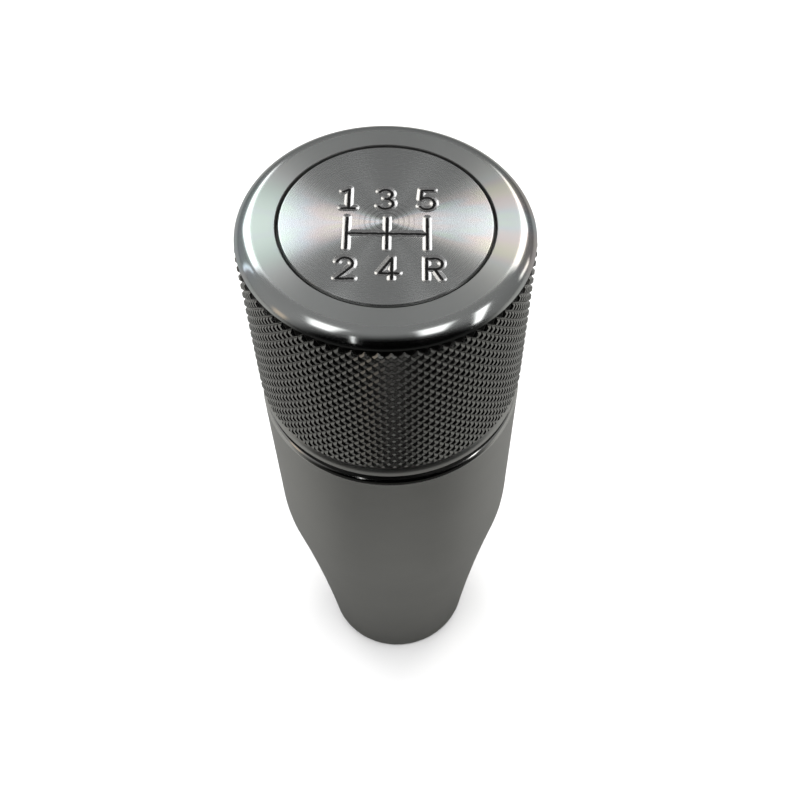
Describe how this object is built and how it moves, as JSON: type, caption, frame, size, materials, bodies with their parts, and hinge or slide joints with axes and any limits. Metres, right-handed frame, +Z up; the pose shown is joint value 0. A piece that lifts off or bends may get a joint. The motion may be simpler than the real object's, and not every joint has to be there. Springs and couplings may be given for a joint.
{
  "type": "gear shift knob",
  "caption": "Long turned metal gear shift knob with a diamond-knurled grip, tapered neck, inset pattern disc and threaded steel insert.",
  "frame": {"origin": "centre of the foot, on the plane that the knob stands on", "axes": "+Z up the turning axis to the disc, -Y towards the driver, who reads the disc upright from there, +X to the driver's right"},
  "size_m": [0.035, 0.035, 0.1],
  "materials": {
    "turned_metal": "satin turned",
    "disc_metal": "fine concentric turning",
    "insert_steel": "machined"
  },
  "bodies": {
    "root": {"knob_body": "turned_metal", "pattern_disc": "disc_metal", "thread_insert": "insert_steel"}
  },
  "joints": []
}
